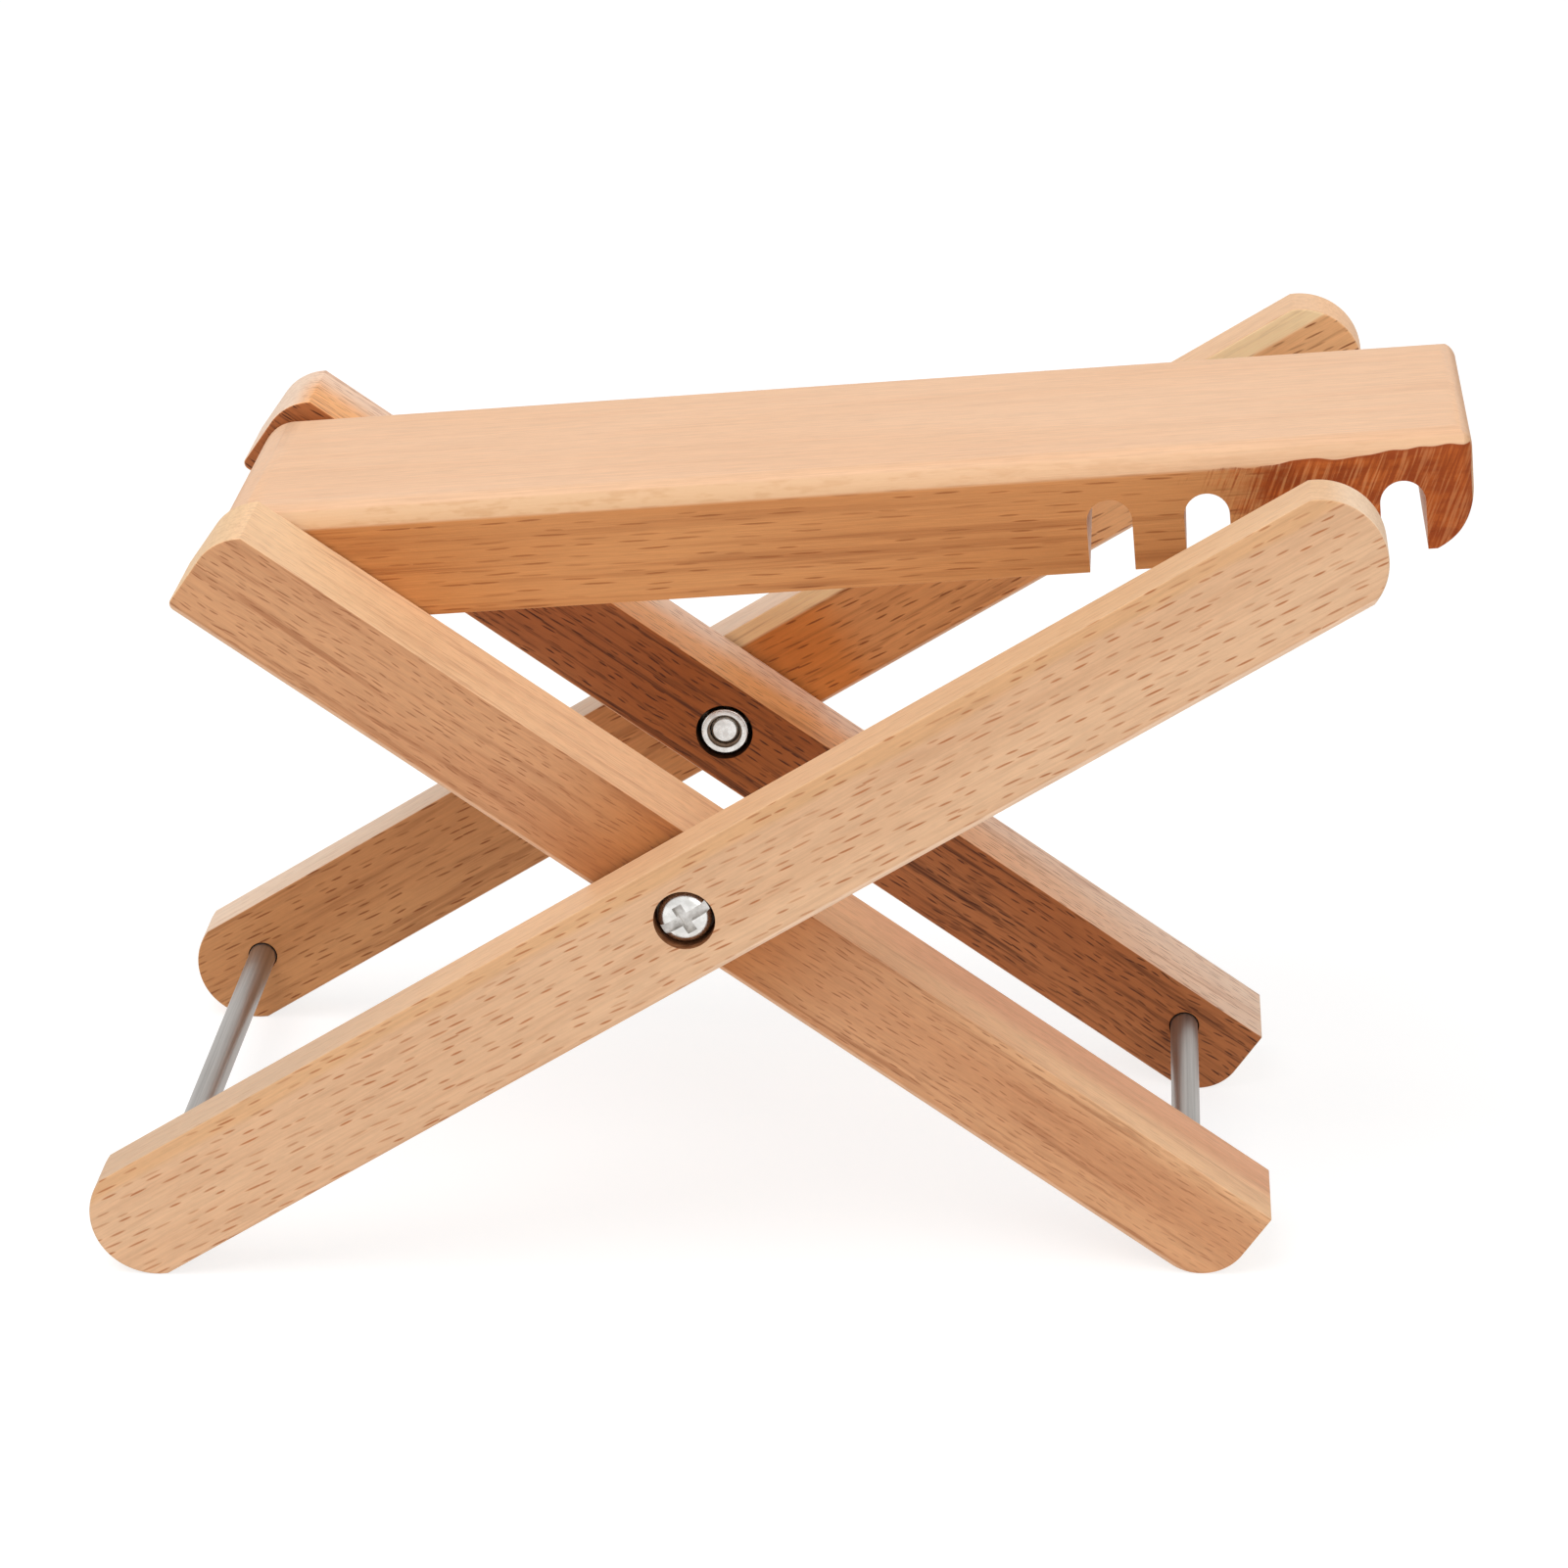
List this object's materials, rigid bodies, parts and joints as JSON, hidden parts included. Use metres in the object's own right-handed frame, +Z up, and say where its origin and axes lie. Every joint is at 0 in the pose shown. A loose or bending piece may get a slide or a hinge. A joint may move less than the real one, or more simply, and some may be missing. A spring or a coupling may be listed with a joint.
{
  "type": "guitar footrest",
  "caption": "Folding wooden footrest whose crossed legs pivot on bolts; a hinged foot board hooks its notched end over a steel rod to set the height.",
  "frame": {"origin": "On the floor, in the middle of the footrest's box.", "axes": "+X runs along the foot board from its hinge to its notched end, +Y from the front legs to the rear legs, +Z up."},
  "size_m": [0.2761, 0.1386, 0.1743],
  "materials": {
    "board_wood": "sanded pale beech, thin clear oil",
    "outer_leg_wood": "sanded beech with short dark flecks",
    "inner_leg_wood": "sanded beech, a little redder, with short dark flecks",
    "bright_rod": "drawn bright steel rod",
    "zinc_fastener": "bright zinc plate",
    "spacer_plastic": "plain plastic washer",
    "nut_nylon": "grey-brown nylon locking ring"
  },
  "bodies": {
    "outer_frame": {"outer_leg_front": "outer_leg_wood", "outer_leg_rear": "outer_leg_wood", "catch_rod": "bright_rod", "outer_foot_rod": "bright_rod", "pivot_bolt_front": "zinc_fastener", "pivot_bolt_rear": "zinc_fastener", "bolt_washer_front": "zinc_fastener", "bolt_washer_rear": "zinc_fastener", "spacer_washer_front": "spacer_plastic", "spacer_washer_rear": "spacer_plastic"},
    "inner_frame": {"inner_leg_front": "inner_leg_wood", "inner_leg_rear": "inner_leg_wood", "inner_foot_rod": "bright_rod", "hinge_rod": "bright_rod", "pivot_nut_front": "zinc_fastener", "pivot_nut_rear": "zinc_fastener", "nut_insert_front": "nut_nylon", "nut_insert_rear": "nut_nylon", "nut_washer_front": "zinc_fastener", "nut_washer_rear": "zinc_fastener"},
    "board": {"foot_board": "board_wood"}
  },
  "joints": [
    {"name": "leg_fold", "type": "hinge", "parent": "outer_frame", "child": "inner_frame", "pos_m": [-0.01557, 0, 0.08221], "axis": [0, -1, 0], "range_deg": [0, 66.8]},
    {"name": "board_lift", "type": "hinge", "parent": "inner_frame", "child": "board", "pos_m": [-0.10443, 0, 0.1406], "axis": [0, -1, 0], "range_deg": [0, 44.5]}
  ],
  "couplings": [
    {"joint": "board_lift", "follows": "leg_fold", "ratio": 0.66}
  ]
}
